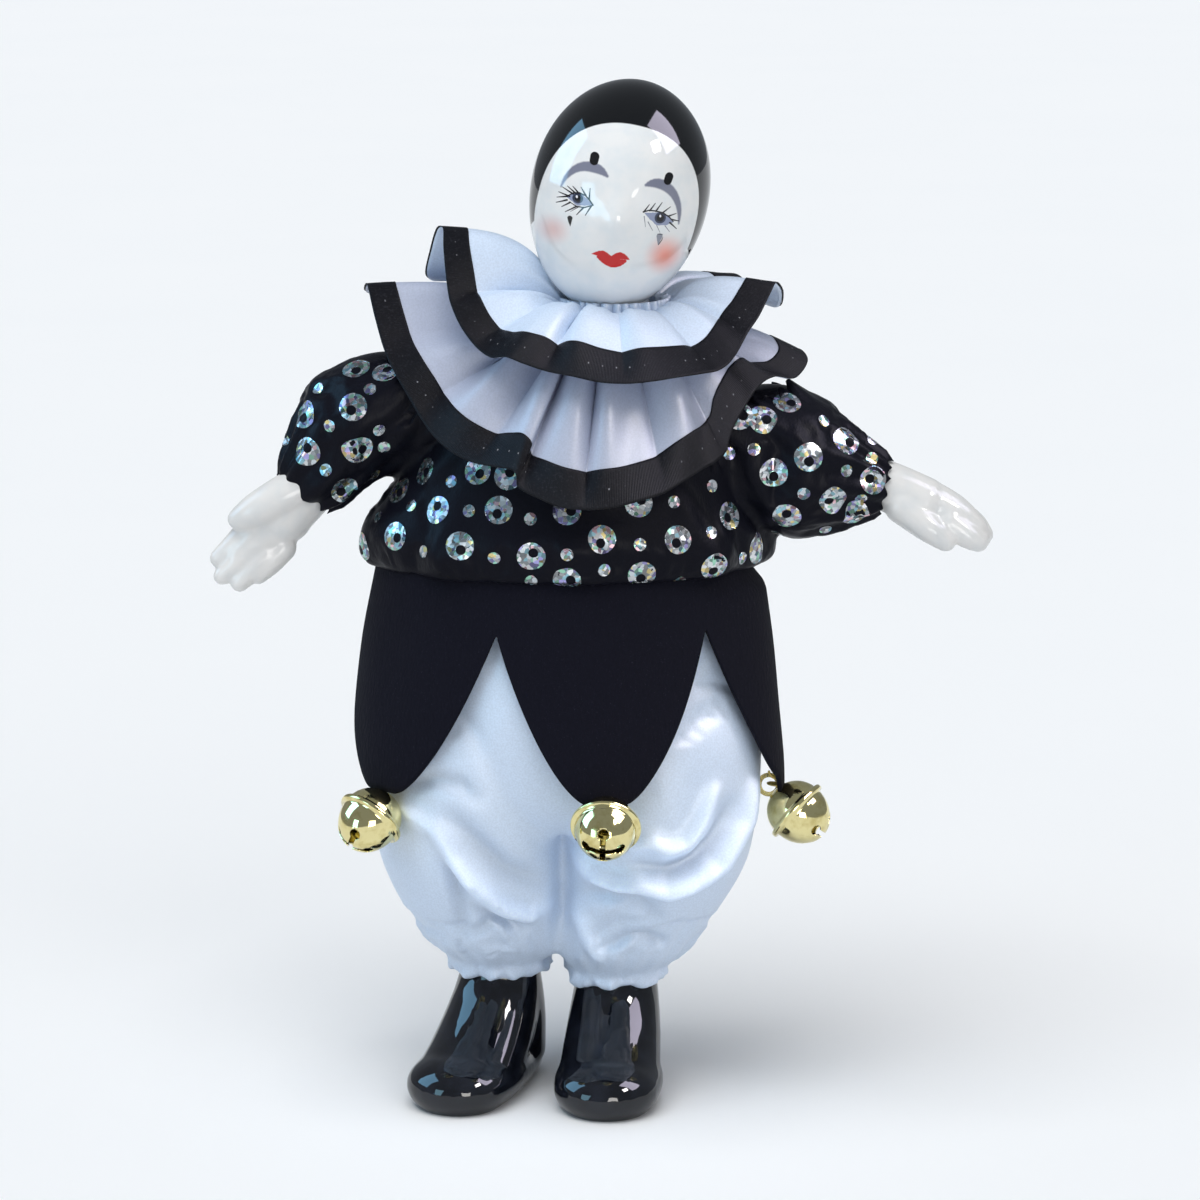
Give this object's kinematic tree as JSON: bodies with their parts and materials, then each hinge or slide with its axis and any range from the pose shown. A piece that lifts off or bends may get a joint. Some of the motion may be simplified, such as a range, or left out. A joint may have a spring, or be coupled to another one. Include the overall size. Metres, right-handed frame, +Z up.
{
  "type": "clown doll",
  "caption": "Standing white-faced clown doll with glazed head, hands and boots, ruffs, dotted blouse, tabbed skirt and bells.",
  "frame": {"origin": "middle of the doll's underside, on the surface it stands on", "axes": "+Z up, the face turned to -Y, the doll's own left hand towards +X"},
  "size_m": [0.1676, 0.0868, 0.2215],
  "materials": {
    "white_porcelain": "white glazed porcelain, the head with a painted black cap and a painted face",
    "black_porcelain": "black high-gloss glaze",
    "white_satin": "white satin with a soft sheen",
    "black_ribbon": "black satin ribbon, six millimetres wide, with pale stitches",
    "dotted_satin": "black satin with glittering foil rings and small foil dots",
    "black_felt": "matte black felt",
    "brass": "polished yellow brass"
  },
  "bodies": {
    "root": {"head": "white_porcelain", "hand_right": "white_porcelain", "hand_left": "white_porcelain", "ruff_upper": "white_satin", "ruff_upper_ribbon": "black_ribbon", "ruff_lower": "white_satin", "ruff_lower_ribbon": "black_ribbon", "blouse": "dotted_satin", "skirt": "black_felt", "trousers": "white_satin", "boot_right": "black_porcelain", "boot_left": "black_porcelain", "bell_front": "brass", "bell_left": "brass", "bell_back_left": "brass", "bell_back_right": "brass", "bell_right": "brass"}
  },
  "joints": []
}
